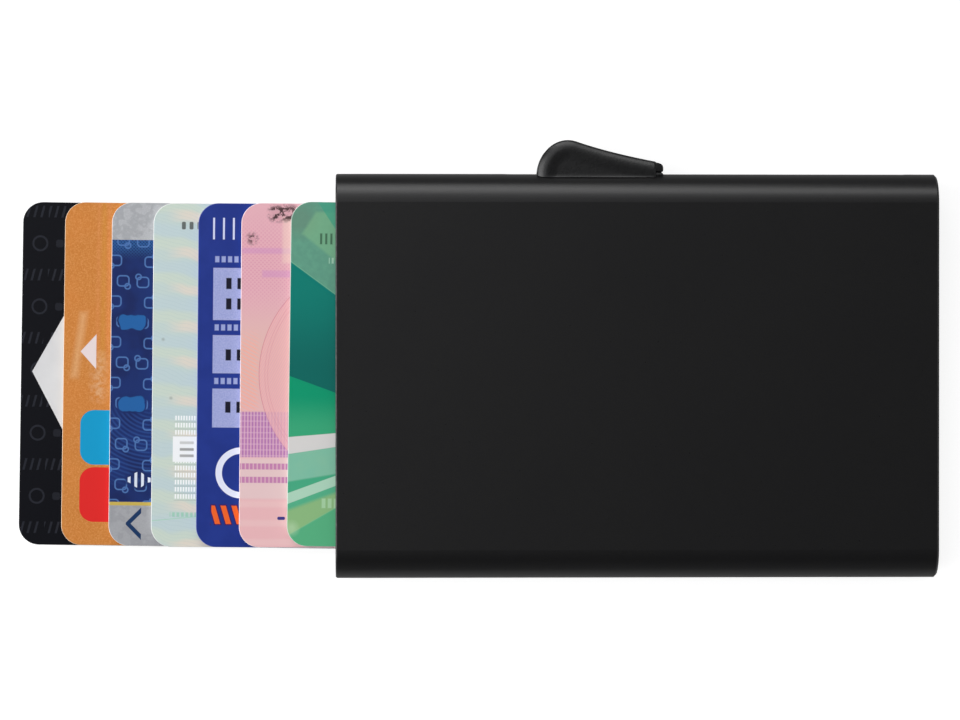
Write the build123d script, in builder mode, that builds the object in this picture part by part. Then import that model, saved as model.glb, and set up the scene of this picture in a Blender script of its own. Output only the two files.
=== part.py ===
from build123d import *
import math
import os

# Slim card wallet that fans its cards out of one end.
#
# A flattened aluminium tube with round long sides is open at the mouth and capped at the other
# end. Seven payment cards lie in it as a stack. A thumb lever runs in a slot along one long side,
# and a carriage inside joins it to the first of seven thin steel pushers, one behind each card.
# Each pusher drags the next by two pins that run in its slots, so the cards leave the mouth as a
# staircase, with the card at the back furthest out.
#
# Frame, in millimetres: the back face lies on z = 0 and its centre is the origin. +X runs from the
# mouth to the closed end, +Y towards the thumb lever and +Z towards the front face. The model is
# made with the cards fanned out and the lever slid back by its lost motion.

# --- Payment cards, ISO/IEC 7810 size ID-1
card_length = 85.60
card_width = 53.98
card_thickness = 0.76
card_corner = 3.18
card_edge_chamfer = 0.08
card_count = 7
card_pitch = 0.80
# Every card is a little ahead of its pusher and lies askew, with its mouth end towards the lever.
# From the back of the stack to the front: the way ahead, the turn in degrees, and how far its
# centre has dropped from the middle of the tube.
card_lead = (0.51, 0.98, 0.70, 1.23, 1.33, 1.73, 1.26)
card_skew = (0.86, 0.80, 0.70, 0.51, 0.50, 0.50, 0.80)
card_drop = (0.20, 0.20, 0.20, 0.22, 0.22, 0.22, 0.24)

# --- Case
case_length = 94.65
case_width = 63.6
case_thickness = 9.4
case_radius = 4.6
case_wall = 0.8
mouth_chamfer = 0.2
closed_end_chamfer = 0.35
half_length = case_length / 2
half_width = case_width / 2
middle = case_thickness / 2
inner_width = case_width - 2 * case_wall
inner_thickness = case_thickness - 2 * case_wall
inner_radius = case_radius - case_wall
side_centre = half_width - case_radius

# --- Liner, two moulded half shells inside the tube
liner_gap = 0.05
liner_floor = 0.50
liner_seam = 0.04
liner_inset = 0.20
liner_width = inner_width - 2 * liner_gap
liner_thickness = inner_thickness - 2 * liner_gap
liner_radius = inner_radius - liner_gap
cavity_width = 58.6
cavity_thickness = liner_thickness - 2 * liner_floor
cavity_radius = 1.4
# The lever side of the liner is open, so that the carriage runs along the tube's own wall.
channel_inner = 28.9
channel_height = 5.5

# --- End cap, held by two tongues in the liner
cap_inner_face = 44.35
cap_inset = 0.15
cap_round = 0.25
tongue_width = 12.0
tongue_length = 5.0
tongue_thickness = 0.40
tongue_play = 0.1
liner_end = cap_inner_face - 0.05

# --- Felt pads that grip the stack at the mouth
pad_length = 7.0
pad_width = 46.0
pad_thickness = 0.45
pad_corner = 1.0
pad_from_mouth = 1.2

# --- Leaf spring under the front half of the liner, which steadies the stack
leaf_start = -34.0
leaf_length = 20.0
leaf_width = 16.0
leaf_thickness = 0.15
leaf_rise = 0.34

# --- Card stack, centred in the thickness
stack_height = (card_count - 1) * card_pitch + card_thickness
stack_bottom = middle - stack_height / 2

# --- Pushers, flat steel stampings, each level with its card
pusher_thickness = 0.50
pusher_width = 58.0
pusher_bar = 4.8
pusher_corner = 0.5
pusher_rise = 0.13
arm_width = 1.1
arm_margin = 0.6
lane = (pusher_width - arm_width) / 2
pin_radius = 0.25
pin_height = 0.70
pin_side_play = 0.05
pin_end_play = 0.20
pin_at_back = 3.9
pin_at_front = -4.6
closed_face = 39.4

# --- Travel of the lever, and how far the first pusher goes meanwhile
lever_travel = 43.0
lost_motion = 7.2
first_travel = lever_travel + lost_motion
pusher_step = first_travel / card_count

# --- Thumb lever, with heights measured from the crest of the case's round side
lever_width = 5.4
lever_round = 0.75
lever_clearance = 0.15
lever_depth = 1.2
hump_x = -10.87
hump_height = -0.25
hump_reach = 4.80
hump_rise = 5.52
slope_angle = 73.5
tail_x = 2.95
tail_height = 1.90
tail_slope = -10.8
# The knurled end of the lever: a narrow core with two thick ribs across it
knob_width = 4.0
knob_core_x = 3.85
knob_root_x = 2.4
knob_tip_x = 4.18
knob_round = 0.35
upper_rib = (0.32, 1.50, 1.76)
lower_rib = (-0.90, 0.12, 0.12)

# --- Snap legs of the lever, and the case slot that they run in
leg_centres = (-12.0, -2.0)
leg_length = 2.4
leg_thickness = 1.3
leg_foot = 29.85
leg_root = 0.45
barb_reach = 0.30
barb_height = 0.40
slot_width = 1.6
slot_end_play = 0.45

# --- Carriage, inside the tube along its lever side
carriage_ends = (-14.6, 1.0)
carriage_inner = 29.75
carriage_height = 3.4
carriage_gap = 0.10
leg_play = 0.05
barb_pocket_depth = 0.55

# --- Flange of the first pusher, and the carriage's peg that drives it
flange_ends = (-18.0, -6.5)
flange_inner = 29.2
flange_thickness = 0.40
flange_top = 6.4
flange_bend = 0.35
peg_x = -8.4
peg_radius = 0.6
peg_play = 0.1
peg_tip = 29.15


def section_plane(x):
    """Plane across the tube at x, with the axes Y and Z, and its origin at mid thickness."""
    return Plane(origin=(x, 0, middle), x_dir=(0, 1, 0), z_dir=(1, 0, 0))


def side_plane(y):
    """Plane at y that looks from the lever side inwards, with the axes X and Z."""
    return Plane(origin=(0, y, middle), x_dir=(1, 0, 0), z_dir=(0, -1, 0))


def card_level(number):
    """Height of a card's underside. Cards are counted from 1 at the back of the stack."""
    return stack_bottom + (number - 1) * card_pitch


def pusher_face(number):
    """Where a pusher meets its card while the cards are fanned out."""
    return closed_face - pusher_step * (card_count + 1 - number)


def pin_offset(number):
    """Place of a pusher's pins from its face, in turn behind and in front of it."""
    return pin_at_back if number % 2 else pin_at_front


def save(piece, name):
    piece.label = name
    export_step(piece, f"parts/{name}.step")


# ------------------------------------------------------------------ case


def make_outer_case():
    slot_start = leg_centres[0] - leg_length / 2 - lost_motion - slot_end_play
    slot_end = leg_centres[1] + leg_length / 2 + lever_travel + slot_end_play
    with BuildPart() as outer_case:
        with BuildSketch(section_plane(-half_length)):
            RectangleRounded(case_width, case_thickness, case_radius)
            RectangleRounded(inner_width, inner_thickness, inner_radius, mode=Mode.SUBTRACT)
        extrude(amount=case_length)
        mouth = outer_case.faces().sort_by(Axis.X)[0]
        closed_end = outer_case.faces().sort_by(Axis.X)[-1]
        chamfer(mouth.edges(), length=mouth_chamfer)
        chamfer(closed_end.outer_wire().edges(), length=closed_end_chamfer)
        with BuildSketch(side_plane(half_width)):
            with Locations(((slot_start + slot_end) / 2, 0)):
                SlotOverall(slot_end - slot_start, slot_width)
        extrude(amount=2 * case_wall, mode=Mode.SUBTRACT)
    save(outer_case.part, "outer_case")


# ------------------------------------------------------------------ fixed pieces inside the case


def make_liner_half(side, name):
    """One half shell of the liner. Side is -1 for the back half and 1 for the front half."""
    with BuildPart() as half:
        with BuildSketch(section_plane(liner_inset - half_length)):
            RectangleRounded(liner_width, liner_thickness, liner_radius)
            RectangleRounded(cavity_width, cavity_thickness, cavity_radius, mode=Mode.SUBTRACT)
            with Locations((channel_inner, 0)):
                Rectangle(
                    half_width, channel_height, align=(Align.MIN, Align.CENTER), mode=Mode.SUBTRACT
                )
            with Locations((0, side * (liner_seam + case_thickness) / 2)):
                Rectangle(case_width, case_thickness, mode=Mode.INTERSECT)
        extrude(amount=liner_end + half_length - liner_inset)
        with BuildSketch(Plane.XY.offset(middle)):
            with Locations((liner_end, 0)):
                Rectangle(2 * (tongue_length + tongue_play), tongue_width + 2 * tongue_play)
        extrude(amount=side * middle, mode=Mode.SUBTRACT)
    save(half.part, name)


def make_end_cap():
    tongue_height = (liner_thickness - tongue_thickness) / 2
    with BuildPart() as end_cap:
        with BuildSketch(section_plane(cap_inner_face)):
            RectangleRounded(liner_width, liner_thickness, liner_radius)
        extrude(amount=half_length - cap_inset - cap_inner_face)
        fillet(end_cap.faces().sort_by(Axis.X)[-1].edges(), radius=cap_round)
        with BuildSketch(section_plane(cap_inner_face)):
            with Locations((0, -tongue_height), (0, tongue_height)):
                Rectangle(tongue_width, tongue_thickness)
        extrude(amount=-tongue_length)
    save(end_cap.part, "end_cap")


def make_pad(side, name):
    """Felt strip glued to one half of the liner, just inside the mouth."""
    with BuildPart() as pad:
        with BuildSketch(Plane.XY.offset(middle + side * cavity_thickness / 2)):
            with Locations((pad_from_mouth + pad_length / 2 - half_length, 0)):
                RectangleRounded(pad_length, pad_width, pad_corner)
        extrude(amount=-side * pad_thickness)
    save(pad.part, name)


def make_leaf_spring():
    """Thin strip that bows down from the liner towards the front card."""
    leaf_end = leaf_start + leaf_length
    leaf_middle = leaf_start + leaf_length / 2
    root = middle + cavity_thickness / 2
    foot = root - leaf_thickness
    with BuildPart() as leaf_spring:
        with BuildSketch(Plane.XZ.offset(-leaf_width / 2)):
            with BuildLine():
                ThreePointArc((leaf_start, root), (leaf_middle, root - leaf_rise), (leaf_end, root))
                Line((leaf_end, root), (leaf_end, foot))
                ThreePointArc((leaf_end, foot), (leaf_middle, foot - leaf_rise), (leaf_start, foot))
                Line((leaf_start, foot), (leaf_start, root))
            make_face()
        extrude(amount=leaf_width)
    save(leaf_spring.part, "leaf_spring")


# ------------------------------------------------------------------ thumb lever and carriage


def make_thumb_lever():
    tail_angle = math.radians(tail_slope)
    tail_direction = (math.cos(tail_angle), math.sin(tail_angle))
    back_x = hump_x - hump_reach
    tail_end = (tail_x, tail_height)
    with BuildPart() as thumb_lever:
        # The side view, a round hump for the thumb that slopes down to the tail
        with BuildSketch(Plane(origin=(0, half_width, middle - lever_width / 2))):
            with BuildLine():
                hump = EllipticalCenterArc(
                    (hump_x, hump_height), hump_reach, hump_rise, 180, arc_size=slope_angle - 180
                )
                Spline(hump @ 1, tail_end, tangents=(hump % 1, tail_direction))
                Line(tail_end, (tail_x, -lever_depth))
                Line((tail_x, -lever_depth), (back_x, -lever_depth))
                Line((back_x, -lever_depth), (back_x, hump_height))
            make_face()
        extrude(amount=lever_width)
        rim = thumb_lever.faces().filter_by(Axis.Z).edges().filter_by(GeomType.LINE, reverse=True)
        fillet(rim, radius=lever_round)
        # The knob, a core and two ribs
        knob_plane = Plane(origin=(0, half_width, middle - knob_width / 2))
        for bottom, shoulder, top in (upper_rib, lower_rib):
            with BuildSketch(knob_plane) as rib:
                with BuildLine():
                    Polyline(
                        (knob_root_x, bottom), (knob_tip_x, bottom), (knob_tip_x, shoulder),
                        (tail_x + knob_round, top), (knob_root_x, top),
                        close=True,
                    )
                make_face()
                fillet(rib.vertices().group_by(Axis.X)[-1], radius=knob_round)
            extrude(amount=knob_width)
        with BuildSketch(knob_plane):
            with Locations((knob_core_x, lower_rib[0])):
                Rectangle(
                    knob_core_x - knob_root_x, upper_rib[1] - lower_rib[0], align=(Align.MAX, Align.MIN)
                )
        extrude(amount=knob_width)
        # The underside follows the round side of the case
        with BuildSketch(section_plane(back_x - 1)):
            with Locations((side_centre, 0)):
                Circle(case_radius + lever_clearance)
        extrude(amount=knob_tip_x - back_x + 2, mode=Mode.SUBTRACT)
        # Two legs with barbs, which snap into the carriage
        with BuildSketch(side_plane(half_width + leg_root)):
            with Locations(*[(centre, 0) for centre in leg_centres]):
                Rectangle(leg_length, leg_thickness)
        extrude(amount=half_width + leg_root - leg_foot)
        with BuildSketch(side_plane(leg_foot)):
            with Locations(*[(centre, 0) for centre in leg_centres]):
                Rectangle(leg_length + 2 * barb_reach, leg_thickness)
        extrude(amount=-barb_height)
    save(thumb_lever.part, "thumb_lever")


def make_slider_carriage():
    length = carriage_ends[1] - carriage_ends[0]
    pocket_height = carriage_inner + barb_pocket_depth
    with BuildPart() as slider_carriage:
        with BuildSketch(section_plane(carriage_ends[0])):
            with Locations((side_centre, 0)):
                Circle(inner_radius - carriage_gap)
            with Locations((carriage_inner, 0)):
                Rectangle(
                    half_width, carriage_height, align=(Align.MIN, Align.CENTER), mode=Mode.INTERSECT
                )
        extrude(amount=length)
        # Openings for the legs, wider inside, where the barbs spread
        with BuildSketch(side_plane(half_width)):
            with Locations(*[(centre, 0) for centre in leg_centres]):
                Rectangle(leg_length + 2 * leg_play, leg_thickness + 2 * leg_play)
        extrude(amount=half_width - carriage_inner, mode=Mode.SUBTRACT)
        with BuildSketch(side_plane(pocket_height)):
            with Locations(*[(centre, 0) for centre in leg_centres]):
                Rectangle(leg_length + 2 * (barb_reach + leg_play), leg_thickness + 2 * leg_play)
        extrude(amount=barb_pocket_depth, mode=Mode.SUBTRACT)
        # The peg that drives the first pusher
        with BuildSketch(side_plane(carriage_inner)):
            with Locations((peg_x, 0)):
                Circle(peg_radius)
        extrude(amount=carriage_inner - peg_tip)
    save(slider_carriage.part, "slider_carriage")


# ------------------------------------------------------------------ pushers


def add_pins(face, number):
    """Two round pins on top of a pusher, which reach into the slots of the next one."""
    top = card_level(number) + pusher_rise + pusher_thickness
    with BuildSketch(Plane.XY.offset(top)) as pins:
        with Locations((face + pin_offset(number), -lane), (face + pin_offset(number), lane)):
            Circle(pin_radius)
    extrude(pins.sketch, amount=pin_height)


def cut_slots(face, number):
    """Two slots in a pusher for the pins of the pusher below it."""
    slot_front = pin_offset(number - 1) - pusher_step - pin_radius - pin_end_play
    slot_back = pin_offset(number - 1) + pin_radius + pin_end_play
    slot_middle = face + (slot_front + slot_back) / 2
    with BuildSketch(Plane.XY.offset(card_level(number) + pusher_rise)) as slots:
        with Locations((slot_middle, -lane), (slot_middle, lane)):
            SlotOverall(slot_back - slot_front, 2 * (pin_radius + pin_side_play))
    extrude(slots.sketch, amount=pusher_thickness, mode=Mode.SUBTRACT)


def add_flange():
    """Upright flange on the lever side of the first pusher, with a window for the carriage's peg."""
    bottom = card_level(1) + pusher_rise
    shoulder = bottom + pusher_thickness
    flange_outer = flange_inner + flange_thickness
    with BuildSketch(Plane(origin=(flange_ends[0], 0, 0), x_dir=(0, 1, 0), z_dir=(1, 0, 0))) as section:
        with BuildLine():
            Polyline(
                (lane, bottom), (flange_outer, bottom), (flange_outer, flange_top),
                (flange_inner, flange_top), (flange_inner, shoulder), (lane, shoulder),
                close=True,
            )
        make_face()
        fillet(section.vertices().group_by(Axis.X)[-1].sort_by(Axis.Y)[0], radius=flange_bend)
    extrude(section.sketch, amount=flange_ends[1] - flange_ends[0])
    peg_room = peg_radius + peg_play
    with BuildSketch(side_plane(flange_outer)) as window:
        with Locations((peg_x - lost_motion / 2, 0)):
            Rectangle(lost_motion + 2 * peg_room, 2 * peg_room)
    extrude(window.sketch, amount=flange_thickness, mode=Mode.SUBTRACT)


def make_pusher(number):
    face = pusher_face(number)
    level = card_level(number) + pusher_rise
    arm_length = arm_margin - min(pin_offset(number), 0)
    if number > 1:
        slot_front = pin_offset(number - 1) - pusher_step - pin_radius - pin_end_play
        arm_length = max(arm_length, arm_margin - slot_front)
    else:
        arm_length = face - flange_ends[0] + arm_margin
    with BuildPart() as pusher:
        with BuildSketch(Plane.XY.offset(level)):
            with Locations((face, 0)):
                Rectangle(pusher_bar, pusher_width, align=(Align.MIN, Align.CENTER))
            with Locations((face, -lane), (face, lane)):
                Rectangle(arm_length, arm_width, align=(Align.MAX, Align.CENTER))
        extrude(amount=pusher_thickness)
        fillet(pusher.edges().filter_by(Axis.Z).group_by(Axis.X)[-1], radius=pusher_corner)
        if number == 1:
            add_flange()
        if number > 1:
            cut_slots(face, number)
        if number < card_count:
            add_pins(face, number)
    save(pusher.part, f"pusher_{number}")


# ------------------------------------------------------------------ cards


def make_card(number):
    edge = pusher_face(number) - card_lead[number - 1]
    centre = (edge - card_length / 2, -card_drop[number - 1], card_level(number))
    turn = math.radians(card_skew[number - 1])
    plane = Plane(origin=centre, x_dir=(math.cos(turn), -math.sin(turn), 0), z_dir=(0, 0, 1))
    with BuildPart() as card:
        with BuildSketch(plane):
            RectangleRounded(card_length, card_width, card_corner)
        extrude(amount=card_thickness)
        chamfer(card.faces().filter_by(Axis.Z).edges(), length=card_edge_chamfer)
    save(card.part, f"card_{number}")


os.makedirs("parts", exist_ok=True)
make_outer_case()
make_liner_half(-1, "lower_liner")
make_liner_half(1, "upper_liner")
make_end_cap()
make_pad(-1, "lower_pad")
make_pad(1, "upper_pad")
make_leaf_spring()
make_thumb_lever()
make_slider_carriage()
for position in range(1, card_count + 1):
    make_pusher(position)
    make_card(position)
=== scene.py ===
import math

import bmesh
import bpy
import numpy as np
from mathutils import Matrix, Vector


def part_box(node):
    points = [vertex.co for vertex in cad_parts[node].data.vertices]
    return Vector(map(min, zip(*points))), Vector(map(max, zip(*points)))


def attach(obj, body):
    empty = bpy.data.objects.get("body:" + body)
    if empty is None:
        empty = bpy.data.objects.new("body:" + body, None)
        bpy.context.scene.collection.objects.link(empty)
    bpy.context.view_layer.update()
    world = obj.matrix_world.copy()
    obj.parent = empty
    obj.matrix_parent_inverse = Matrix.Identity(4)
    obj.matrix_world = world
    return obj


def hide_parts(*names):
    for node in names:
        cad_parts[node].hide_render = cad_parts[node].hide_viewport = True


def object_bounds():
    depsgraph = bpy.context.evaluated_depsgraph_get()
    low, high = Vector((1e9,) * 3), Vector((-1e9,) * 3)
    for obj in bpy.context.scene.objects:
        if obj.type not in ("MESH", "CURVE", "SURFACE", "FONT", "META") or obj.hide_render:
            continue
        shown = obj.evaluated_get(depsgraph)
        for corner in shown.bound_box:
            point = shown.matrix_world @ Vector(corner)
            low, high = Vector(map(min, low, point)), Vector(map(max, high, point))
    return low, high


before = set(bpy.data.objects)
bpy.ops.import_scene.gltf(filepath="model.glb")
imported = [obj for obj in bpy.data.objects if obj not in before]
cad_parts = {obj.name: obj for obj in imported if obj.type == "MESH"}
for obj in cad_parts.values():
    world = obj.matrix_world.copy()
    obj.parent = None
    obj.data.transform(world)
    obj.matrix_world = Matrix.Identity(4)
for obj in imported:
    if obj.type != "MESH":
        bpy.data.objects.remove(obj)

# A slim card wallet that fans seven cards out of its mouth. The CAD nodes keep their shapes and get
# procedural materials here. The thumb lever is rebuilt as a finer mesh. Artwork and grain are laid
# out in millimetres, everything else is in metres.

cad_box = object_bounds()
MM = 0.001
CARD_LENGTH = 85.60
CARD_THICKNESS = 0.76
case_low, case_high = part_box("outer_case")
CREST = case_high.y / MM
MIDDLE = (case_low.z + case_high.z) / 2 / MM


# ------------------------------------------------------------------ colours and fields


def colour(red, green, blue):
    """A screen colour, 0 to 255, as linear light."""
    channels = []
    for value in (red, green, blue):
        value /= 255
        channels.append(value / 12.92 if value <= 0.04045 else ((value + 0.055) / 1.055) ** 2.4)
    return (*channels, 1.0)


class Field:
    """A number that varies over a surface, worked out by math nodes."""

    def __init__(self, tree, socket):
        self.tree = tree
        self.socket = socket

    def math(self, operation, *values, clamp=False):
        node = self.tree.nodes.new("ShaderNodeMath")
        node.operation = operation
        node.use_clamp = clamp
        for socket, value in zip(node.inputs, values):
            if isinstance(value, Field):
                self.tree.links.new(value.socket, socket)
            else:
                socket.default_value = value
        return Field(self.tree, node.outputs[0])

    def __add__(self, other):
        return self.math("ADD", self, other)

    def __sub__(self, other):
        return self.math("SUBTRACT", self, other)

    def __rsub__(self, other):
        return self.math("SUBTRACT", other, self)

    def __mul__(self, other):
        return self.math("MULTIPLY", self, other)

    def __truediv__(self, other):
        return self.math("DIVIDE", self, other)

    __radd__ = __add__
    __rmul__ = __mul__

    def __neg__(self):
        return self * -1

    def __abs__(self):
        return self.math("ABSOLUTE", self)

    def sine(self):
        return self.math("SINE", self)

    def length_with(self, other):
        return self.math("SQRT", self * self + other * other)

    def least(self, other):
        return self.math("MINIMUM", self, other)

    def most(self, other):
        return self.math("MAXIMUM", self, other)

    def repeated(self, pitch):
        """Runs from minus to plus half a pitch, again and again."""
        return self.math("WRAP", self, pitch / 2, -pitch / 2)

    def rising(self, low, high):
        """0 below low, 1 above high, and smooth between them."""
        node = self.tree.nodes.new("ShaderNodeMapRange")
        node.interpolation_type = "SMOOTHSTEP"
        self.tree.links.new(self.socket, node.inputs["Value"])
        node.inputs["From Min"].default_value = low
        node.inputs["From Max"].default_value = high
        return Field(self.tree, node.outputs["Result"])

    def inside(self, soft=0.05):
        """1 where a distance is below zero, with a soft edge of that width in millimetres."""
        return self.math("MULTIPLY_ADD", self, -1 / soft, 0.5, clamp=True)


class Surface:
    """A material in the making: its shader, and its coordinates in millimetres."""

    def __init__(self, name, roughness, base, place=(0, 0, 0), turn=0.0, **sockets):
        self.material = bpy.data.materials.new(name)
        self.material.use_nodes = True
        self.tree = self.material.node_tree
        self.shader = self.tree.nodes["Principled BSDF"]
        self.shader.inputs["Base Color"].default_value = base
        self.shader.inputs["Roughness"].default_value = roughness
        for socket, value in sockets.items():
            self.shader.inputs[socket.replace("_", " ")].default_value = value
        coordinates = self.tree.nodes.new("ShaderNodeTexCoord")
        mapping = self.tree.nodes.new("ShaderNodeMapping")
        mapping.vector_type = "TEXTURE"
        mapping.inputs["Location"].default_value = place
        mapping.inputs["Rotation"].default_value = (0, 0, turn)
        mapping.inputs["Scale"].default_value = (MM, MM, MM)
        self.tree.links.new(coordinates.outputs["Object"], mapping.inputs["Vector"])
        self.vector = mapping.outputs["Vector"]
        parts = self.tree.nodes.new("ShaderNodeSeparateXYZ")
        self.tree.links.new(self.vector, parts.inputs[0])
        self.x, self.y, self.z = (Field(self.tree, output) for output in parts.outputs)
        self.paint = base

    def stretched(self, stretch):
        """The coordinates, scaled by three numbers."""
        node = self.tree.nodes.new("ShaderNodeVectorMath")
        node.operation = "MULTIPLY"
        self.tree.links.new(self.vector, node.inputs[0])
        node.inputs[1].default_value = stretch
        return node.outputs[0]

    def noise(self, per_mm, detail=2.0, stretch=(1, 1, 1), roughness=0.5):
        node = self.tree.nodes.new("ShaderNodeTexNoise")
        self.tree.links.new(self.stretched(stretch), node.inputs["Vector"])
        node.inputs["Scale"].default_value = per_mm
        node.inputs["Detail"].default_value = detail
        node.inputs["Roughness"].default_value = roughness
        return Field(self.tree, node.outputs["Fac"])

    def cells(self, per_mm, stretch=(1, 1, 1)):
        node = self.tree.nodes.new("ShaderNodeTexVoronoi")
        self.tree.links.new(self.stretched(stretch), node.inputs["Vector"])
        node.inputs["Scale"].default_value = per_mm
        return Field(self.tree, node.outputs["Distance"])

    def mixed(self, amount, under, over):
        """Two colours, or sockets of colour, mixed by a field or a number."""
        node = self.tree.nodes.new("ShaderNodeMix")
        node.data_type = "RGBA"
        for index, value in ((0, amount), (6, under), (7, over)):
            socket = node.inputs[index]
            if isinstance(value, Field):
                self.tree.links.new(value.socket, socket)
            elif isinstance(value, bpy.types.NodeSocket):
                self.tree.links.new(value, socket)
            else:
                socket.default_value = value
        return node.outputs[2]

    def lay(self, mask, ink):
        """Lays a colour over the paint so far, where the mask is 1."""
        self.paint = self.mixed(mask, self.paint, ink)

    def drive(self, socket, field):
        self.tree.links.new(field.socket, self.shader.inputs[socket])

    def bump(self, height, depth, strength=1.0):
        """Raises the surface by height, from 0 to 1, times a depth in millimetres."""
        node = self.tree.nodes.new("ShaderNodeBump")
        node.inputs["Strength"].default_value = strength
        node.inputs["Distance"].default_value = depth * MM
        self.tree.links.new(height.socket, node.inputs["Height"])
        self.tree.links.new(node.outputs["Normal"], self.shader.inputs["Normal"])

    def finished(self):
        if isinstance(self.paint, bpy.types.NodeSocket):
            self.tree.links.new(self.paint, self.shader.inputs["Base Color"])
        return self.material

    # Signed distances in the plane of x and y, negative inside

    def box(self, centre, size, corner=0.0, x=None, y=None):
        across = abs((x or self.x) - centre[0]) - (size[0] / 2 - corner)
        along = abs((y or self.y) - centre[1]) - (size[1] / 2 - corner)
        if corner == 0:
            return across.most(along)
        outside = across.most(0).length_with(along.most(0))
        return outside + across.most(along).least(0) - corner

    def disc(self, centre, radius, x=None, y=None):
        return ((x or self.x) - centre[0]).length_with((y or self.y) - centre[1]) - radius

    def side(self, start, end):
        """Distance from the line through two points, positive on the left from start to end."""
        run, rise = end[0] - start[0], end[1] - start[1]
        length = math.hypot(run, rise)
        return (self.y - start[1]) * (run / length) - (self.x - start[0]) * (rise / length)


# ------------------------------------------------------------------ materials of the wallet


def anodised_aluminium():
    """Black anodised over a bead-blasted surface: a fine even grain, and slightly worn edges."""
    surface = Surface("black_anodised", 0.29, colour(8, 8, 9))
    grain = surface.noise(7.0, 3.0)
    cloud = surface.noise(0.05, 2.0)
    surface.lay(grain.rising(0.40, 0.70) * 0.6, colour(24, 23, 24))
    surface.lay(cloud.rising(0.4, 0.7) * 0.3, colour(6, 6, 8))
    to_end = (case_high.x / MM) - abs(surface.x)
    worn = to_end.rising(0.42, 0.05) * surface.noise(1.2, 3.0).rising(0.35, 0.75)
    surface.lay(worn * 0.35, colour(96, 94, 96))
    surface.drive("Roughness", surface.noise(2.5, 3.0) * 0.06 + 0.26)
    surface.bump(surface.noise(9.0, 2.0) + surface.cells(6.0) * 0.35, 0.012, 0.35)
    return surface.finished()


def moulded_plastic(name, shade, roughness, grain_per_mm=4.0):
    """Injection-moulded plastic with a fine spark-eroded texture."""
    surface = Surface(name, roughness, colour(*shade))
    lighter = colour(*(min(255, channel + 14) for channel in shade))
    surface.lay(surface.noise(grain_per_mm, 3.0).rising(0.4, 0.8) * 0.4, lighter)
    surface.drive("Roughness", surface.noise(1.5, 3.0) * 0.12 + (roughness - 0.06))
    surface.bump(surface.cells(grain_per_mm) + surface.noise(2 * grain_per_mm, 2.0), 0.015, 0.5)
    return surface.finished()


def felt():
    surface = Surface("black_felt", 0.95, colour(38, 38, 41), Sheen_Weight=0.5, Sheen_Roughness=0.4)
    fibres = surface.noise(3.0, 6.0, (1, 3, 1)) + surface.noise(3.0, 6.0, (3, 1, 1))
    surface.lay(fibres.rising(0.8, 1.3) * 0.6, colour(72, 72, 76))
    surface.bump(fibres, 0.08, 0.9)
    return surface.finished()


def rolled_steel(name, shade, stretch):
    """Stamped stainless strip, with the fine lines that rolling leaves."""
    surface = Surface(name, 0.32, colour(*shade), Metallic=1.0)
    lines = surface.noise(6.0, 4.0, stretch)
    surface.lay(lines.rising(0.3, 0.7) * 0.5, colour(*(channel - 40 for channel in shade)))
    surface.drive("Roughness", lines * 0.2 + 0.22)
    surface.bump(lines, 0.006, 0.6)
    return surface.finished()


# ------------------------------------------------------------------ card artwork


def card_surface(number, base, core, roughness=0.24, gloss=0.35, **sockets):
    """A laminated card. x runs in from its outer short edge, y across it, z up from its underside."""
    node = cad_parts[f"card_{number}"]
    low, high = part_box(f"card_{number}")
    centre = (low + high) / 2
    long_sides = [face for face in node.data.polygons if face.normal.y > 0.9]
    normal = max(long_sides, key=lambda face: face.area).normal
    turn = math.atan2(-normal.x, normal.y)
    outer_end = centre - Vector((math.cos(turn), math.sin(turn), 0)) * (CARD_LENGTH * MM / 2)
    place = (outer_end.x, outer_end.y, low.z)
    surface = Surface(f"card_print_{number}", roughness, colour(*base), place, turn,
                      Specular_IOR_Level=gloss, **sockets)
    surface.core = colour(*core)
    return surface


def back_of(surface, base):
    """Plain reverse side: a magnetic stripe, a signature strip and rows of short bars."""
    front = surface.paint
    surface.paint = colour(*base)
    surface.lay(surface.noise(3.0, 4.0).rising(0.4, 0.8) * 0.10, colour(128, 128, 132))
    stripe = surface.box((CARD_LENGTH / 2, 15.0), (CARD_LENGTH + 2, 12.7))
    surface.lay(stripe.inside(), colour(22, 20, 20))
    strip = surface.box((34.0, 2.6), (56.0, 7.4))
    surface.lay(strip.inside(), colour(228, 228, 222))
    ruling = abs(surface.y.repeated(1.1)) - 0.08
    surface.lay(strip.most(ruling).inside() * 0.4, colour(150, 165, 190))
    bars = surface.box((0, 0), (2.1, 0.7), 0.3, surface.x.repeated(2.6), surface.y.repeated(2.3))
    field = surface.box((30.0, -13.8), (46.0, 9.2))
    surface.lay(bars.most(field).inside() * 0.5, colour(118, 118, 124))
    return surface.mixed((surface.z - 0.02).inside(0.01), front, surface.paint)


def chip(surface, centre):
    """Gold contact pads of a smart card."""
    module = surface.box(centre, (12.6, 11.4), 2.0)
    x, y = surface.x - centre[0], surface.y - centre[1]
    gaps = (abs(y.repeated(2.85)) - 0.12).most(2.4 - abs(x)).least(abs(abs(x) - 2.4) - 0.12)
    gaps = gaps.least(surface.disc(centre, 2.2).most(-surface.disc(centre, 1.95)))
    surface.lay(module.inside(), colour(214, 180, 104))
    surface.lay(module.most(gaps).inside() * 0.8, colour(92, 70, 34))


def print_finished(surface, back):
    """Joins the front, the back and the card's core, and gives the lamination its fine unevenness."""
    surface.paint = back_of(surface, back)
    printed = abs(surface.z - CARD_THICKNESS / 2) - (CARD_THICKNESS / 2 - 0.015)
    surface.lay(printed.inside(0.01), surface.core)
    surface.bump(surface.noise(1.6, 3.0) + surface.noise(9.0, 1.0) * 0.3, 0.006, 0.35)
    return surface.finished()


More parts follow.
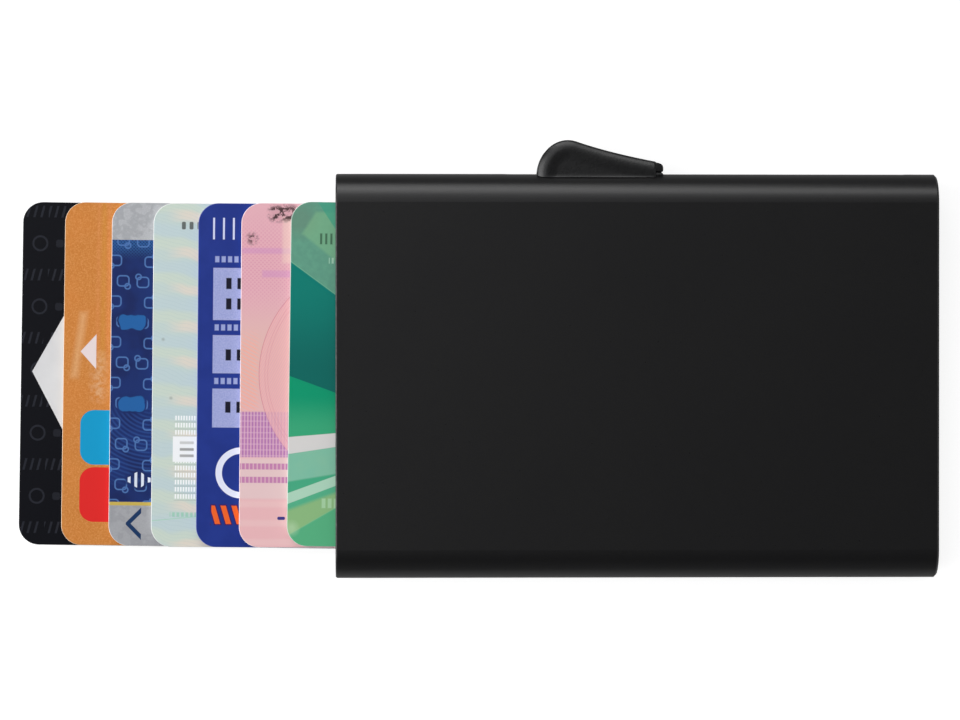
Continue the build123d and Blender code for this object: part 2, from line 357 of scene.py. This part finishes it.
def print_dark():
    """Near-black card with a faint tone-on-tone pattern and a large white arrowhead."""
    surface = card_surface(1, (4, 5, 13), (24, 24, 28), gloss=0.2)
    faint = colour(34, 36, 44)
    x, y = surface.x.repeated(8.0), (surface.y - 0.6).repeated(9.95)
    ring = surface.disc((2.75, 0), 1.25, x, y).most(-surface.disc((2.75, 0), 0.95, x, y))
    surface.lay(ring.inside(0.1), faint)
    surface.lay(surface.box((-2.2, 0), (1.2, 1.2), 0.4, x, y).inside(0.1) * 0.7, faint)
    strokes = (surface.x - surface.y * 0.25).repeated(1.1)
    row = (surface.y - 5.6).repeated(9.95)
    slanted = (abs(strokes) - 0.17).most(abs(row) - 0.9).most(surface.x.repeated(8.0) - 3.4)
    surface.lay(slanted.inside(0.1), faint)
    upper = surface.side((1.76, 0.3), (6.8, 9.45))
    lower = -surface.side((1.76, 0.3), (6.8, -9.05))
    arrow = upper.most(lower).most(surface.x - 14.0)
    white = surface.mixed(surface.noise(0.3, 2.0), colour(206, 206, 208), colour(222, 222, 223))
    surface.lay(arrow.inside(), white)
    return print_finished(surface, (24, 26, 34))


def print_copper():
    """Metallic orange card with faint vertical tints, an arrowhead and two plain colour blocks."""
    surface = card_surface(2, (208, 130, 56), (238, 214, 186), 0.30, Metallic=0.15)
    grain = surface.noise(4.5, 3.0, roughness=0.75)
    surface.lay(grain.rising(0.45, 0.75) * 0.6, colour(236, 176, 112))
    surface.lay(grain.rising(0.50, 0.25) * 0.5, colour(190, 108, 40))
    surface.lay(surface.noise(0.12, 2.0).rising(0.4, 0.7) * 0.25, colour(222, 134, 60))
    high_part = surface.y.rising(-2.0, 6.0)
    tints = ((5.3, (240, 158, 112), 0.15), (6.15, (214, 164, 44), 0.2), (7.0, (240, 150, 112), 0.15))
    for place, tint, share in tints:
        line = (abs(surface.x - place) - 0.22).inside(0.5)
        surface.lay(line * high_part * share, colour(*tint))
    streak = abs(surface.side((1.7, -1.0), (3.3, 11.0))) - 0.4
    surface.lay(streak.most(abs(surface.y - 4.5) - 5.0).inside(1.2) * 0.5, colour(240, 196, 146))
    haze = surface.box((5.6, -0.5), (2.0, 7.4), 0.8).inside(1.6)
    haze *= surface.noise(2.0, 3.0).rising(0.3, 0.7)
    surface.lay(haze * 0.45, colour(236, 200, 160))
    pointer = surface.side((2.68, 3.5), (5.2, 6.3)).most(-surface.side((2.68, 3.5), (5.2, 0.7)))
    surface.lay(pointer.most(surface.x - 5.15).inside(), colour(238, 222, 222))
    surface.lay(surface.box((7.9, -10.0), (10.2, 8.6), 2.2).inside(), colour(0, 156, 206))
    surface.lay(surface.box((7.9, -19.0), (10.2, 8.6), 2.2).inside(), colour(228, 36, 34))
    chip(surface, (22.0, 3.1))
    return print_finished(surface, (210, 150, 92))


def print_transit():
    """Silver card with a navy panel of rounded squares and rings, a gold rule and a chevron."""
    surface = card_surface(3, (178, 180, 184), (232, 232, 232), 0.30, Metallic=0.15)
    grain = surface.noise(4.0, 4.0, roughness=0.7)
    surface.lay(grain.rising(0.35, 0.75) * 0.5, colour(208, 210, 212))
    swirls = (surface.noise(0.5, 2.0) * 14).sine().rising(0.2, 1.0)
    surface.lay(swirls * 0.4, colour(146, 148, 154))
    surface.lay((surface.y + 20.6).rising(0.3, -0.3) * 0.45, colour(146, 146, 152))
    panel = surface.box((CARD_LENGTH / 2, 0.5), (CARD_LENGTH + 2, 41.2))
    cloud = surface.noise(0.25, 2.0).rising(0.35, 0.65)
    ground = surface.mixed(cloud, colour(14, 34, 92), colour(18, 44, 108))
    surface.lay(panel.inside(), ground)
    diagonals = abs((surface.x + surface.y).repeated(0.5)) - 0.12
    crossing = abs((surface.x - surface.y).repeated(0.5)) - 0.10
    top = (surface.y - 17.6).rising(0.0, 3.0) * panel.inside()
    surface.lay(diagonals.least(crossing).inside(0.1) * top * 0.6, colour(50, 112, 176))
    ripples = abs(surface.disc((6.5, -3.0), 0).repeated(0.62)) - 0.14
    zone = surface.box((3.0, -11.0), (9.0, 11.0), 3.0)
    surface.lay(ripples.inside(0.12) * zone.inside(3.0) * 0.45 * panel.inside(), colour(44, 84, 158))
    line = colour(78, 118, 180)
    glyphs = []
    for start_x, start_y, side in ((-0.9, 4.95, 1), (3.4, 1.75, -1)):
        x, y = (surface.x - start_x).repeated(8.6), (surface.y - start_y).repeated(6.4)
        for sign in (1, -1):
            square, ring = (1.55 * side * sign, 0.1 * sign), (0.85 * sign, -0.75 * side * sign)
            glyphs.append(abs(surface.box(square, (1.8, 1.6), 0.5, x, y)) - 0.11)
            glyphs.append(abs(surface.disc(ring, 0.42, x, y)) - 0.11)
    pattern = glyphs[0]
    for glyph in glyphs[1:]:
        pattern = pattern.least(glyph)
    surface.lay(pattern.inside(0.08) * panel.inside() * 0.95, line)
    for height in (8.15, -4.65):
        blob = surface.box((3.4, height), (4.3, 2.3), 0.9) + (surface.noise(0.7, 1.0) - 0.5) * 1.2
        surface.lay((blob - 0.25).inside(0.2), ground)
        surface.lay(blob.inside(0.15) * 0.85, colour(32, 104, 174))
    bars = surface.x.repeated(1.05)
    heights = abs(surface.y + 16.6) - 0.8 - (surface.x * 1.7).sine() * 0.45
    marks = (abs(bars) - 0.22).most(heights).most(abs(surface.x - 5.6) - 2.7)
    surface.lay((marks - 0.4).inside(0.3) * 0.8, ground)
    surface.lay(marks.inside(), colour(222, 230, 246))
    rule = surface.box((CARD_LENGTH / 2, -20.38), (CARD_LENGTH + 2, 0.55))
    surface.lay(rule.inside(), colour(204, 178, 86))
    tip = (3.0, -23.5)
    arms = abs(abs(surface.y - tip[1]) - (surface.x - tip[0])) * 0.72 - 0.33
    surface.lay(arms.most(abs(surface.x - 3.9) - 1.2).inside(), colour(14, 52, 96))
    return print_finished(surface, (196, 198, 204))


def print_pastel():
    """Pale card with soft pastel waves and a block of fine white ruling."""
    surface = card_surface(4, (196, 212, 208), (244, 246, 244))
    wave = surface.y + surface.x * 0.12 + surface.noise(0.15, 2.0) * 2.6
    surface.lay((wave * 1.1).sine().rising(-0.2, 1.0) * 0.45, colour(188, 208, 218))
    surface.lay((wave * 1.1 + 2.2).sine().rising(0.1, 1.0) * 0.45, colour(210, 220, 198))
    right = surface.x.rising(1.5, 5.5)
    surface.lay((wave * 1.1 + 3.6).sine().rising(0.3, 1.0) * right * 0.75, colour(230, 216, 200))
    hairlines = abs((wave + surface.x * 0.2).repeated(0.55)) - 0.05
    surface.lay(hairlines.inside(0.1) * 0.16, colour(150, 180, 186))
    for place in (4.75, 5.95, 7.2):
        bar = surface.box((place, 23.5), (0.62, 1.2), 0.2)
        surface.lay(bar.inside(0.08) * 0.85, colour(64, 66, 62))
    ruling = surface.box((9.0, -13.0), (11.0, 13.4))
    ticks = (abs(surface.x.repeated(0.42)) - 0.12).most(abs(surface.y.repeated(1.12)) - 0.36)
    surface.lay(ruling.most(ticks).inside(0.06) * 0.9, colour(250, 252, 252))
    rules = abs(surface.y.repeated(1.12) - 0.5) - 0.05
    surface.lay(ruling.most(rules).inside(0.06) * 0.5, colour(148, 158, 156))
    surface.lay(surface.box((9.0, -11.6), (11.4, 4.0)).inside(), colour(244, 246, 248))
    for height, shade in ((-10.6, 205), (-11.65, 158), (-12.65, 172)):
        bar = surface.box((5.5, height), (2.2, 0.42), 0.1)
        surface.lay(bar.inside(0.12), colour(shade, shade, shade))
    dashes = (abs(surface.x.repeated(0.7)) - 0.22).most(surface.box((6.0, -21.9), (6.2, 0.7)))
    surface.lay(dashes.inside(0.1) * 0.6, colour(128, 200, 168))
    hairline = abs(surface.side((0, -22.9), (7, -22.2))) - 0.06
    surface.lay(hairline.inside(0.1) * 0.6, colour(140, 208, 170))
    for centre in ((1.65, 5.6), (2.95, -3.6)):
        surface.lay(surface.disc(centre, 0.22).inside(0.3) * 0.5, colour(128, 136, 130))
    return print_finished(surface, (214, 222, 220))


def print_member():
    """Royal blue card with lavender fields, dark bars in them, a plain ring and orange strokes."""
    surface = card_surface(5, (26, 48, 132), (120, 130, 190))
    surface.lay(surface.noise(0.3, 3.0).rising(0.35, 0.7) * 0.35, colour(36, 60, 150))
    pale = colour(206, 212, 240)
    uprights = abs((surface.x - 2.45).repeated(1.55)) - 0.15
    surface.lay(uprights.most(surface.box((8.7, 23.0), (13.4, 3.4))).inside(), pale)
    dash = abs(surface.x.repeated(1.0)) - 0.32
    for height in (18.2, 7.5, -0.9):
        row = dash.most(surface.box((9.5, height), (14.0, 0.95)))
        surface.lay(row.inside(0.12) * 0.85, colour(164, 174, 222))
    grain = surface.noise(5.0, 3.0).rising(0.3, 0.7)
    lavender = surface.mixed(grain, colour(150, 158, 210), colour(168, 174, 220))
    for height, tall in ((12.75, 8.2), (3.3, 6.0), (-5.15, 6.1)):
        surface.lay(surface.box((31.0, height), (57.2, tall)).inside(), lavender)
    dark = colour(16, 16, 36)
    bars = abs((surface.x - 4.85).repeated(1.75)) - 0.42
    for height in (14.4, 11.2, 3.2, -5.0):
        row = bars.most(surface.box((12.0, height), (15.4, 1.75)))
        surface.lay(row.inside(0.1), dark)
    ring = abs(surface.disc((7.0, -15.3), 3.5)) - 0.5
    surface.lay(ring.inside(), colour(226, 230, 248))
    strokes = abs((surface.x + surface.y * 0.3 - 3.2).repeated(1.7)) - 0.42
    row = surface.box((8.0, -21.9), (11.2, 2.9))
    surface.lay((strokes - 0.18).most(row - 0.18).inside(0.12), colour(60, 26, 84))
    surface.lay(strokes.most(row).inside(), colour(238, 98, 38))
    return print_finished(surface, (44, 64, 150))


def print_licence():
    """Pink card covered with fine security printing: mesh, ribs, an arc, a violet grid and bands."""
    surface = card_surface(6, (230, 176, 186), (252, 240, 242))
    surface.lay(surface.y.rising(14.0, 4.0) * 0.75, colour(228, 188, 178))
    surface.lay(surface.y.rising(2.0, -12.0) * 0.8, colour(236, 182, 188))
    mesh_u, mesh_v = (surface.x + surface.y).repeated(0.62), (surface.x - surface.y).repeated(0.62)
    dots = mesh_u.length_with(mesh_v) - 0.2
    upper = surface.y.rising(7.0, 16.0) * surface.y.rising(27.0, 20.0)
    surface.lay(dots.inside(0.15) * upper * 0.55, colour(216, 138, 166))
    for height, tall, start in ((19.5, 0.9, 0.0), (15.9, 1.1, 3.3)):
        band = surface.box((start + 20.0, height), (40.0, tall))
        surface.lay(band.inside(0.3) * 0.45, colour(206, 140, 196))
    ribs = abs((surface.x * 0.8 + surface.y * 1.6).repeated(0.95)) - 0.2
    rib_zone = surface.y.rising(8.0, 4.0) * surface.y.rising(-6.2, -4.8) * surface.x.rising(3.6, 2.0)
    surface.lay(ribs.inside(0.2) * rib_zone * 0.75, colour(248, 172, 152))
    centre = (20.9, 0.15)
    within = surface.disc(centre, 17.95)
    hatch = abs((surface.x * 1.9 - surface.y).repeated(0.7)) - 0.16
    surface.lay(within.inside(0.1) * 0.5, colour(232, 164, 182))
    surface.lay(hatch.inside(0.15) * within.inside(0.1) * 0.5, colour(244, 190, 172))
    for radius, share in ((17.95, 0.6), (17.05, 0.25), (16.6, 0.25)):
        circle = abs(surface.disc(centre, radius)) - 0.05
        surface.lay(circle.inside(0.08) * share, colour(204, 92, 118))
    grid = surface.y.rising(-5.6, -5.9) * surface.y.rising(-13.0, -12.7)
    grid *= 1 - within.inside(0.1) * 0.8
    surface.lay(grid * 0.7, colour(206, 158, 196))
    surface.lay((abs(surface.x.repeated(0.5)) - 0.13).inside(0.1) * grid * 0.8, colour(172, 100, 172))
    surface.lay((abs(surface.y.repeated(0.9)) - 0.1).inside(0.1) * grid * 0.35, colour(232, 196, 214))
    pale = surface.box((30.0, -16.2), (80.0, 6.4))
    surface.lay(pale.inside(0.5) * 0.75, colour(230, 204, 204))
    broken = abs(surface.x.repeated(0.62)) - 0.22
    for height in (-14.3, -16.4):
        row = surface.box((30.0, height), (80.0, 0.95))
        surface.lay(row.inside(0.1) * 0.45, colour(214, 160, 190))
        surface.lay(broken.most(row).inside(0.1) * 0.8, colour(190, 110, 168))
    soft = (surface.y * 2.1).sine().rising(0.0, 1.0) * surface.y.rising(-17.0, -19.0)
    surface.lay(soft * 0.4, colour(240, 206, 204))
    specks = surface.noise(1.2, 5.0, roughness=0.72).rising(0.45, 0.55)
    patch = surface.box((6.6, 25.4), (4.6, 2.4), 0.9).least(surface.disc((1.7, 21.4), 0.75))
    surface.lay(surface.box((7.3, 21.2), (1.7, 7.2)).inside(0.5) * 0.4, colour(242, 214, 196))
    surface.lay(specks.most(0.15) * patch.inside(0.9) * 0.95, colour(58, 38, 40))
    surface.lay(surface.box((6.6, -22.4), (1.2, 0.5), 0.2).inside(), colour(58, 54, 130))
    return print_finished(surface, (236, 200, 206))


def print_facets():
    """Card of overlapping green facets, with pale beams between them."""
    surface = card_surface(7, (94, 152, 130), (214, 232, 222))
    surface.lay(surface.noise(1.2, 4.0).rising(0.3, 0.8) * 0.3, colour(112, 178, 146))
    shade = surface.disc((1.4, 24.2), 2.4).inside(2.5)
    surface.lay(shade * 0.55, colour(104, 134, 116))
    light = surface.side((1.8, 22.0), (4.6, 26.5)).most(-surface.side((3.0, 21.0), (7.4, 17.5)))
    surface.lay(light.most(surface.y - 25.4).inside(0.5) * 0.45, colour(134, 190, 140))
    corner = surface.side((4.2, 26.9), (7.6, 21.8))
    surface.lay((-corner).inside(0.1) * 0.75, colour(62, 160, 132))
    uprights = (abs((surface.x - 4.75).repeated(0.8)) - 0.17).most(surface.box((8.0, 21.2), (7.4, 1.7)))
    surface.lay(uprights.inside(0.1) * 0.8, colour(48, 84, 62))
    small = abs(surface.x.repeated(0.6)) - 0.16
    small = small.most(surface.box((8.0, 17.8), (4.0, 0.9)))
    surface.lay(small.inside(0.1) * 0.7, colour(176, 214, 190))
    deep_edge = surface.side((0.3, 17.4), (7.4, 12.3))
    deep = surface.mixed(surface.y.rising(0.0, 14.0), colour(0, 102, 94), colour(0, 122, 110))
    surface.lay(deep_edge.inside(), deep)
    surface.lay((abs(deep_edge) - 0.05).inside(0.1) * 0.6, colour(136, 204, 166))
    bright_edge = surface.side((0.0, -0.3), (7.4, -2.9))
    bright = surface.mixed(surface.y.rising(-3.0, -9.0), colour(0, 150, 108), colour(56, 166, 120))
    surface.lay(bright_edge.inside(), bright)
    beam_top = surface.side((0.0, -9.9), (7.4, -9.2))
    beam_bottom = surface.side((0.0, -12.6), (7.4, -11.4))
    surface.lay(beam_top.inside(), colour(216, 214, 212))
    teal = surface.mixed(surface.noise(0.4, 3.0), colour(120, 190, 166), colour(136, 192, 162))
    surface.lay(beam_bottom.inside(), teal)
    surface.lay((abs(beam_bottom) - 0.05).inside(0.1) * 0.5, colour(90, 168, 140))
    surface.lay(surface.side((0.0, -16.9), (7.4, -15.6)).inside(0.3), colour(70, 170, 130))
    stripe = surface.side((0.0, -18.7), (7.4, -15.9)).most(-surface.side((0.0, -20.4), (7.4, -17.5)))
    surface.lay(surface.side((0.0, -18.7), (7.4, -15.9)).inside(), colour(84, 176, 136))
    surface.lay(stripe.inside(), colour(174, 214, 190))
    surface.lay(surface.side((0.0, -21.4), (7.4, -18.6)).inside(0.6), colour(140, 186, 128))
    last = surface.side((1.0, -24.8), (7.4, -21.0))
    surface.lay(last.inside(0.1), colour(86, 176, 128))
    surface.lay((abs(last) - 0.1).inside(0.15) * 0.4, colour(130, 198, 150))
    bars = (abs(surface.x.repeated(0.95)) - 0.3).most(surface.box((8.2, -20.2), (5.6, 1.5)))
    surface.lay(bars.inside(0.15) * 0.6, colour(182, 222, 184))
    gleam = surface.disc((0.7, -24.2), 0.9).inside(1.2)
    surface.lay(gleam * 0.4, colour(198, 226, 190))
    return print_finished(surface, (150, 196, 172))


# ------------------------------------------------------------------ thumb lever

# Side view, with x along the case and heights from the crest of the case's lever side: an elliptic
# hump, and a curve from it down to the tail. The slope angle says where on the ellipse it starts.
HUMP = (-10.87, -0.25)
HUMP_REACH = 4.80
HUMP_RISE = 5.52
SLOPE_ANGLE = 73.5
TAIL = (2.95, 1.90)
TAIL_SLOPE = -10.8
# Across the lever, half its width less a rounded rim, a crowned edge, a dish and a rounded end. The
# dish starts at a gap from the edge, and closes again by a share at the foot.
LEVER_HALF_WIDTH = 2.7
RIM_RADIUS = 0.35
CROWN_DROP = 0.55
CROWN_SPREAD = 0.90
CROWN_POWER = 1.25
DISH_DEPTH = 0.26
DISH_START = 0.8
DISH_SLOPE_WIDTH = 2.4
FLARE_SPREAD = 0.30
FLARE_SHARE = 0.35
END_RADIUS = 0.30
# The underside, round the side of the case
CASE_RADIUS = 4.6
SADDLE_RADIUS = 4.75
SIDE_CENTRE = CREST - CASE_RADIUS
FOOT = SIDE_CENTRE + math.sqrt(SADDLE_RADIUS ** 2 - LEVER_HALF_WIDTH ** 2) - CREST
# The knob at the tail, two lobes in side view
KNOB_HALF_WIDTH = 1.95
KNOB_ROUND = 0.30
UPPER_LOBE = (
    (2.6, 0.26), (3.93, 0.26), (4.09, 0.36), (4.16, 0.55), (4.17, 0.88), (4.13, 1.15),
    (4.03, 1.36), (3.84, 1.54), (3.48, 1.69), (3.01, 1.80), (2.6, 1.86),
)
LOWER_LOBE = (
    (2.6, -0.66), (3.7, -0.66), (4.05, -0.60), (4.16, -0.40), (4.16, -0.12), (4.08, 0.08),
    (3.93, 0.18), (2.6, 0.18),
)
# The two snap legs
LEG_CENTRES = (-12.0, -2.0)
LEG_HALF_LENGTH = 1.2
LEG_HALF_THICKNESS = 0.65
LEG_HEIGHTS = (-1.9, 1.0)


def saddle(z):
    """Height of the lever's underside above the crest, at a distance from mid thickness."""
    return SIDE_CENTRE + math.sqrt(SADDLE_RADIUS ** 2 - z ** 2) - CREST


def lever_vertex(mesh, x, height, z):
    """A vertex at a height above the crest, and at a distance from mid thickness."""
    return mesh.verts.new((x * MM, (CREST + height) * MM, (MIDDLE + z) * MM))


def lever_top():
    """The lever's upper edge in side view, from its foot over the hump to its tail."""
    back = HUMP[0] - HUMP_REACH
    points = [(back, height) for height in np.linspace(FOOT, HUMP[1], 6)[:-1]]
    for angle in np.radians(np.linspace(180, SLOPE_ANGLE, 48)):
        points.append((HUMP[0] + HUMP_REACH * math.cos(angle), HUMP[1] + HUMP_RISE * math.sin(angle)))
    start, end = Vector(points[-1]), Vector(TAIL)
    reach = (end - start).length / 3
    slope = math.radians(SLOPE_ANGLE)
    hump_direction = Vector((HUMP_REACH * math.sin(slope), -HUMP_RISE * math.cos(slope))).normalized()
    leaving = start + hump_direction * reach
    fall = math.radians(TAIL_SLOPE)
    arriving = end - Vector((math.cos(fall), math.sin(fall))) * reach
    for t in np.linspace(0, 1, 70)[1:]:
        s = 1 - t
        near_start = s ** 3 * start + 3 * s * s * t * leaving
        points.append(tuple(near_start + 3 * s * t * t * arriving + t ** 3 * end))
    return np.array(points)


def rounding(radius, gap):
    """How far a rounded edge falls back, at a gap from the edge."""
    short = min(radius, max(0.0, radius - gap))
    return radius - math.sqrt(radius ** 2 - short ** 2)


def lever_half_width(edge, point):
    """Half the lever's width at a point in side view: rounded and crowned at the edge, dished below."""
    gap = np.hypot(*(edge - point).T).min()
    above_foot = point[1] - FOOT
    rim = rounding(RIM_RADIUS, gap)
    end = rounding(END_RADIUS, TAIL[0] - point[0])
    crown = CROWN_DROP * math.exp(-(gap / CROWN_SPREAD) ** CROWN_POWER)
    inner = min(1.0, max(0.0, (gap - DISH_START) / DISH_SLOPE_WIDTH))
    dish = DISH_DEPTH * inner * inner * (3 - 2 * inner)
    flare = 1 - FLARE_SHARE * math.exp(-(above_foot / FLARE_SPREAD) ** 2)
    return LEVER_HALF_WIDTH - rim - end - crown - dish * flare


def strip_of_faces(mesh, first, second):
    for i in range(len(first) - 1):
        mesh.faces.new((first[i], first[i + 1], second[i + 1], second[i]))


def add_crossing(mesh, front, back):
    """Faces between two matching rows of vertices, front and back, kept clear of the case."""
    last = front
    for share in np.linspace(0, 1, 14)[1:]:
        strip = back
        if share < 1:
            strip = []
            for a, b in zip(front, back):
                z = (a.co.z * (1 - share) + b.co.z * share) / MM - MIDDLE
                height = max(a.co.y / MM - CREST, saddle(z))
                strip.append(lever_vertex(mesh, a.co.x / MM, height, z))
        strip_of_faces(mesh, last, strip)
        last = strip


def add_lever_body(mesh):
    top = lever_top()
    outline = np.vstack([top, [(TAIL[0], height) for height in np.linspace(TAIL[1], FOOT, 14)[1:]]])
    # The edge runs on past the foot and the tail, so that only the upper edge is rounded and crowned
    fall = math.radians(TAIL_SLOPE)
    further = np.linspace(0.2, 3, 15)
    beyond = [(TAIL[0] + run * math.cos(fall), TAIL[1] + run * math.sin(fall)) for run in further]
    below = [(top[0, 0], FOOT - drop) for drop in further]
    edge = np.vstack([below, top, beyond])
    foot_x = np.linspace(outline[0, 0], outline[-1, 0], len(outline))
    rows = {1: [], -1: []}
    for share in np.linspace(0, 1, 40) ** 1.8:
        points = outline * (1 - share) + np.stack([foot_x, np.full(len(outline), FOOT)], 1) * share
        halves = [lever_half_width(edge, point) for point in points]
        for sign in (1, -1):
            rows[sign].append([
                lever_vertex(mesh, x, max(height, saddle(half)), sign * half)
                for (x, height), half in zip(points, halves)
            ])
    for sign in (1, -1):
        for outer, inner in zip(rows[sign], rows[sign][1:]):
            strip_of_faces(mesh, outer, inner)
    for edge_row in (0, -1):
        add_crossing(mesh, rows[1][edge_row], rows[-1][edge_row])
    bmesh.ops.remove_doubles(mesh, verts=mesh.verts, dist=1e-7)
    bmesh.ops.dissolve_degenerate(mesh, edges=mesh.edges, dist=1e-7)
    bmesh.ops.holes_fill(mesh, edges=[edge for edge in mesh.edges if edge.is_boundary], sides=0)


def add_lobe(mesh, lobe):
    """One lobe of the knob, across the lever, with rounded ends."""
    centre = np.mean(lobe, axis=0)
    rings = []
    rounded_end = [(KNOB_HALF_WIDTH - KNOB_ROUND * (1 - math.sin(a)), KNOB_ROUND * (1 - math.cos(a)))
                   for a in np.linspace(0, math.pi / 2, 7)]
    flat = KNOB_HALF_WIDTH - KNOB_ROUND
    middle = [(z, 0.0) for z in np.linspace(-flat, flat, 14)[1:-1]]
    profile = [(-z, inset) for z, inset in rounded_end[::-1]] + middle + rounded_end
    for z, inset in profile:
        ring = []
        for point in np.array(lobe):
            inward = centre - point
            x, height = point + inward / np.hypot(*inward) * inset
            ring.append(lever_vertex(mesh, x, max(height, saddle(z)), z))
        rings.append(ring)
    for first, second in zip(rings, rings[1:]):
        strip_of_faces(mesh, first + first[:1], second + second[:1])
    mesh.faces.new(rings[0])
    mesh.faces.new(rings[-1])


def add_leg(mesh, centre):
    """A snap leg from the body down through the case's slot."""
    corners = [
        lever_vertex(mesh, centre + sign_x * LEG_HALF_LENGTH, height, sign_z * LEG_HALF_THICKNESS)
        for height in LEG_HEIGHTS for sign_x in (-1, 1) for sign_z in (-1, 1)
    ]
    sides = ((0, 1, 3, 2), (4, 5, 7, 6), (0, 1, 5, 4), (2, 3, 7, 6), (0, 2, 6, 4), (1, 3, 7, 5))
    for side in sides:
        mesh.faces.new([corners[corner] for corner in side])


def make_lever():
    mesh = bmesh.new()
    add_lever_body(mesh)
    for lobe in (UPPER_LOBE, LOWER_LOBE):
        add_lobe(mesh, lobe)
    for centre in LEG_CENTRES:
        add_leg(mesh, centre)
    bmesh.ops.recalc_face_normals(mesh, faces=mesh.faces)
    data = bpy.data.meshes.new("lever_body")
    mesh.to_mesh(data)
    mesh.free()
    lever = bpy.data.objects.new("lever_body", data)
    bpy.context.scene.collection.objects.link(lever)
    data.shade_smooth()
    data.materials.append(moulded_plastic("lever_plastic", (14, 14, 15), 0.29, 2.5))
    data.set_sharp_from_angle(angle=math.radians(40))
    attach(lever, "slider")
    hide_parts("thumb_lever")


# ------------------------------------------------------------------ materials on the CAD nodes


def dress(node, material):
    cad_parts[node].material_slots[0].material = material


def dress_nodes():
    dress("outer_case", anodised_aluminium())
    liner = moulded_plastic("liner_plastic", (52, 52, 55), 0.5)
    dress("lower_liner", liner)
    dress("upper_liner", liner)
    dress("end_cap", moulded_plastic("cap_plastic", (40, 40, 42), 0.48))
    dress("slider_carriage", moulded_plastic("carriage_plastic", (196, 194, 188), 0.4))
    pad = felt()
    dress("lower_pad", pad)
    dress("upper_pad", pad)
    dress("leaf_spring", rolled_steel("spring_steel", (190, 190, 194), (0.05, 1, 1)))
    pusher_steel = rolled_steel("pusher_steel", (196, 196, 200), (1, 0.05, 1))
    prints = (
        print_dark, print_copper, print_transit, print_pastel, print_member, print_licence, print_facets
    )
    for number, artwork in enumerate(prints, 1):
        dress(f"pusher_{number}", pusher_steel)
        dress(f"card_{number}", artwork())


# ------------------------------------------------------------------ stage, light and camera

FLOOR_GAP = 0.00002
GLOW = 0.8
# The sky: which way its bright side lies, and its strengths there, near the horizon and elsewhere
SKY_TOWARDS = math.radians(145)
SKY_BRIGHT = 0.95
SKY_RIM = 0.10
SKY_DIM = 0.12


def camera_ray(tree):
    """1 for light that reaches the camera straight, and 0 for all the rest."""
    return Field(tree, tree.nodes.new("ShaderNodeLightPath").outputs["Is Camera Ray"])


def make_floor():
    """A large pale table. A glow that only the camera sees keeps it even, as on a light table."""
    mesh = bmesh.new()
    bmesh.ops.create_grid(mesh, x_segments=8, y_segments=8, size=2.0)
    data = bpy.data.meshes.new("floor")
    mesh.to_mesh(data)
    mesh.free()
    floor = bpy.data.objects.new("floor", data)
    floor.location.z = cad_box[0].z - FLOOR_GAP
    bpy.context.scene.collection.objects.link(floor)
    table = Surface(
        "pale_table", 0.9, (0.46, 0.46, 0.46, 1), Specular_IOR_Level=0.1, Emission_Color=(1, 1, 1, 1)
    )
    table.lay(table.y.rising(-10, 80), (0.22, 0.22, 0.22, 1))
    table.drive("Emission Strength", camera_ray(table.tree) * GLOW)
    data.materials.append(table.finished())


def add_softbox(name, place, size, power):
    """A rectangular soft light at a place, aimed at the object. Its size is (level, upright)."""
    data = bpy.data.lights.new(name, "AREA")
    data.shape = "RECTANGLE"
    data.size, data.size_y = size
    data.energy = power
    light = bpy.data.objects.new(name, data)
    light.location = place
    light.rotation_euler = Vector(place).to_track_quat("Z", "Y").to_euler()
    bpy.context.scene.collection.objects.link(light)


def make_lights():
    """Two softboxes on the lever's side and one at each end, too low for the flat face to mirror."""
    add_softbox("lever_side_box", (-0.160, 0.548, 0.262), (0.482, 0.252), 0.84)
    add_softbox("high_box", (0.003, 0.569, 0.463), (0.573, 0.257), 0.88)
    add_softbox("mouth_end_box", (-0.60, 0.0, 0.295), (0.60, 0.80), 4.6)
    add_softbox("closed_end_box", (0.60, 0.0, 0.295), (0.60, 0.80), 0.5)


def make_world():
    """Dim air, with a brighter sky above the mouth and the lever. The camera sees it white."""
    world = bpy.data.worlds.new("studio")
    world.use_nodes = True
    tree = world.node_tree
    parts = tree.nodes.new("ShaderNodeSeparateXYZ")
    tree.links.new(tree.nodes.new("ShaderNodeTexCoord").outputs["Generated"], parts.inputs[0])
    x, y, z = (Field(tree, output) for output in parts.outputs)
    along = x * math.cos(SKY_TOWARDS) + y * math.sin(SKY_TOWARDS)
    bright = along.rising(-0.01, 0.22) * z.rising(0.55, 0.80)
    lighting = bright * SKY_BRIGHT + z.rising(0.75, 0.25) * SKY_RIM + SKY_DIM
    strength = lighting + (1.0 - lighting) * camera_ray(tree)
    background = tree.nodes["Background"]
    background.inputs["Color"].default_value = (0.98, 0.985, 1.0, 1)
    tree.links.new(strength.socket, background.inputs["Strength"])
    bpy.context.scene.world = world


def make_camera():
    """Looks down on the front face, a little from the mouth's side."""
    data = bpy.data.cameras.new("camera")
    data.sensor_width = 36.0
    data.lens = 136.7
    data.clip_start, data.clip_end = 0.01, 10.0
    camera = bpy.data.objects.new("camera", data)
    camera.location = (-0.04084, 0.00474, 0.5787)
    camera.rotation_euler = [math.radians(angle) for angle in (-0.223, -1.618, 0.003)]
    bpy.context.scene.collection.objects.link(camera)
    bpy.context.scene.camera = camera


dress_nodes()
make_lever()
make_floor()
make_lights()
make_world()
make_camera()
bpy.context.scene.view_settings.view_transform = "Standard"
